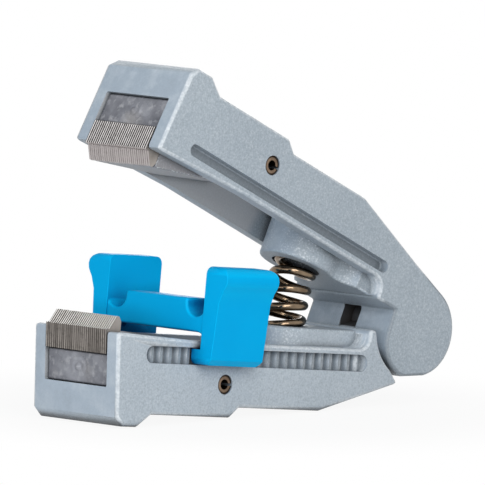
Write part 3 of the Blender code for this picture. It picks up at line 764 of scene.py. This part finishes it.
def return_spring():
    """One wire through all the coil's points, bent along an arc from the lower jaw's seat to the
    upper jaw's.
    """
    points = coil_points()
    curve = bpy.data.curves.new("spring_route", "CURVE")
    curve.dimensions = "3D"
    curve.bevel_depth = WIRE_RADIUS
    curve.bevel_resolution = WIRE_ROUNDNESS
    curve.use_fill_caps = True
    spline = curve.splines.new("POLY")
    spline.points.add(len(points) - 1)
    for point, spot in zip(spline.points, points):
        point.co = (*spot, 1.0)
    holder = add_object("spring_route", curve)
    graph = bpy.context.evaluated_depsgraph_get()
    mesh = bpy.data.meshes.new_from_object(holder.evaluated_get(graph))
    bpy.data.objects.remove(holder)
    mesh.transform(LOWER_FRAME @ Matrix.Scale(MM, 4))
    shape = bmesh.new()
    shape.from_mesh(mesh)
    bmesh.ops.remove_doubles(shape, verts=shape.verts, dist=WELD)
    bmesh.ops.recalc_face_normals(shape, faces=shape.faces)
    shape.to_mesh(mesh)
    shape.free()
    mesh.shade_smooth()
    mesh.set_sharp_from_angle(angle=math.radians(WIRE_SHARP_ANGLE))
    piece = add_object("return_spring_wire", mesh)
    mesh.materials.append(SPRING)
    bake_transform(piece)
    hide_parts("return_spring")


dress("lower_jaw", JAW_LOWER, "lower_jaw")
dress("upper_jaw", JAW_UPPER, "upper_jaw")
for jaw in ("lower", "upper"):
    dress(jaw + "_carrier", CARRIER, jaw + "_jaw")
for pin, holder_body in (
    ("lower_cross_pin", "lower_jaw"),
    ("upper_cross_pin", "upper_jaw"),
    ("pivot_pin", "upper_jaw"),
):
    dress(pin, pin_material(pin), holder_body)
dress("length_stop", STOP, "length_stop", STOP_SHARP_ANGLE)
leaf_pack("lower", -1, LOWER_FRAME, "lower_blades", [LEAF_STAINED, LEAF_GROUND, LEAF_SIDE])
leaf_pack("upper", 1, UPPER_FRAME, "upper_blades", [LEAF_BRIGHT, LEAF_DULL, LEAF_SIDE])
pad("lower", -1, LOWER_FRAME, "lower_jaw")
pad("upper", 1, UPPER_FRAME, "upper_jaw")
return_spring()


# Studio


def seen_directly(tree):
    """1 for camera, glossy and transmitted rays, 0 for light falling on the object."""
    path = tree.nodes.new("ShaderNodeLightPath")
    last = path.outputs["Is Camera Ray"]
    for name in ("Is Glossy Ray", "Is Transmission Ray"):
        more = tree.nodes.new("ShaderNodeMath")
        more.operation = "MAXIMUM"
        tree.links.new(last, more.inputs[0])
        tree.links.new(path.outputs[name], more.inputs[1])
        last = more.outputs[0]
    return last


def mix_shaders(tree, factor, first, second, output):
    mix = tree.nodes.new("ShaderNodeMixShader")
    tree.links.new(factor, mix.inputs["Fac"])
    tree.links.new(first.outputs[0], mix.inputs[1])
    tree.links.new(second.outputs[0], mix.inputs[2])
    tree.links.new(mix.outputs[0], tree.nodes[output].inputs["Surface"])


def make_world():
    """A dim sky for the light on the object, and a white one behind it."""
    world = bpy.data.worlds.new("studio")
    bpy.context.scene.world = world
    world.use_nodes = True
    tree = world.node_tree
    background = tree.nodes["Background"]
    background.inputs["Color"].default_value = SKY_COLOUR
    background.inputs["Strength"].default_value = SKY_STRENGTH
    white = tree.nodes.new("ShaderNodeBackground")
    white.inputs["Color"].default_value = WHITE
    white.inputs["Strength"].default_value = 1.0
    mix_shaders(tree, seen_directly(tree), background, white, "World Output")


def make_floor():
    """A pale round sheet under the object that turns into the white ground further out."""
    shape = bmesh.new()
    bmesh.ops.create_circle(shape, cap_ends=True, segments=FLOOR_SEGMENTS, radius=FLOOR_RADIUS)
    floor = add_object("floor", to_mesh(shape, "floor"))
    floor.location.z = -FLOOR_SINK
    material = bpy.data.materials.new("floor_paper")
    material.use_nodes = True
    tree = material.node_tree
    shader = tree.nodes["Principled BSDF"]
    shader.inputs["Base Color"].default_value = FLOOR_COLOUR
    shader.inputs["Roughness"].default_value = 0.9
    shader.inputs["Specular IOR Level"].default_value = 0.1
    glow = tree.nodes.new("ShaderNodeEmission")
    glow.inputs["Color"].default_value = WHITE
    glow.inputs["Strength"].default_value = 1.0
    place = tree.nodes.new("ShaderNodeTexCoord")
    far = tree.nodes.new("ShaderNodeVectorMath")
    far.operation = "LENGTH"
    tree.links.new(place.outputs["Object"], far.inputs[0])
    fade = tree.nodes.new("ShaderNodeMapRange")
    fade.interpolation_type = "SMOOTHSTEP"
    fade.inputs["From Min"].default_value, fade.inputs["From Max"].default_value = FLOOR_FADE
    fade.inputs["To Min"].default_value, fade.inputs["To Max"].default_value = FLOOR_GLOW
    tree.links.new(far.outputs["Value"], fade.inputs["Value"])
    share = tree.nodes.new("ShaderNodeMath")
    share.operation = "MULTIPLY"
    tree.links.new(fade.outputs["Result"], share.inputs[0])
    tree.links.new(seen_directly(tree), share.inputs[1])
    mix_shaders(tree, share.outputs[0], shader, glow, "Material Output")
    floor.data.materials.append(material)


def make_lamp(name, spot, size, power, colour):
    lamp = bpy.data.lights.new(name, "AREA")
    lamp.shape = "RECTANGLE"
    lamp.size, lamp.size_y = size
    lamp.energy = power
    lamp.color = colour
    obj = add_object(name, lamp)
    obj.location = spot
    obj.rotation_mode = "QUATERNION"
    obj.rotation_quaternion = (LAMP_AIM - Vector(spot)).to_track_quat("-Z", "Y")


def make_camera():
    """The photograph's view: a long lens from the front left, a little above the jaws."""
    azimuth = math.radians(CAMERA_AZIMUTH)
    elevation = math.radians(CAMERA_ELEVATION)
    roll = math.radians(CAMERA_ROLL)
    back = Vector(
        (
            -math.sin(azimuth) * math.cos(elevation),
            -math.cos(azimuth) * math.cos(elevation),
            math.sin(elevation),
        )
    )
    level = Vector((0, 0, 1)).cross(back).normalized()
    steep = back.cross(level)
    right = math.cos(roll) * level + math.sin(roll) * steep
    up = math.cos(roll) * steep - math.sin(roll) * level
    spot = CAMERA_AIM + CAMERA_RIGHT * right + CAMERA_UP * up + CAMERA_BACK * back
    turned = Matrix((right, up, back)).transposed().to_4x4()
    camera = bpy.data.cameras.new("camera")
    camera.sensor_width = CAMERA_SENSOR
    camera.lens = CAMERA_LENS
    camera.clip_start, camera.clip_end = CAMERA_CLIP
    obj = add_object("camera", camera)
    obj.matrix_world = LOWER_FRAME @ Matrix.Translation(spot * MM) @ turned
    bpy.context.scene.camera = obj


make_world()
make_floor()
for lamp_settings in LAMPS:
    make_lamp(*lamp_settings)
make_camera()
bpy.context.scene.view_settings.view_transform = "Standard"
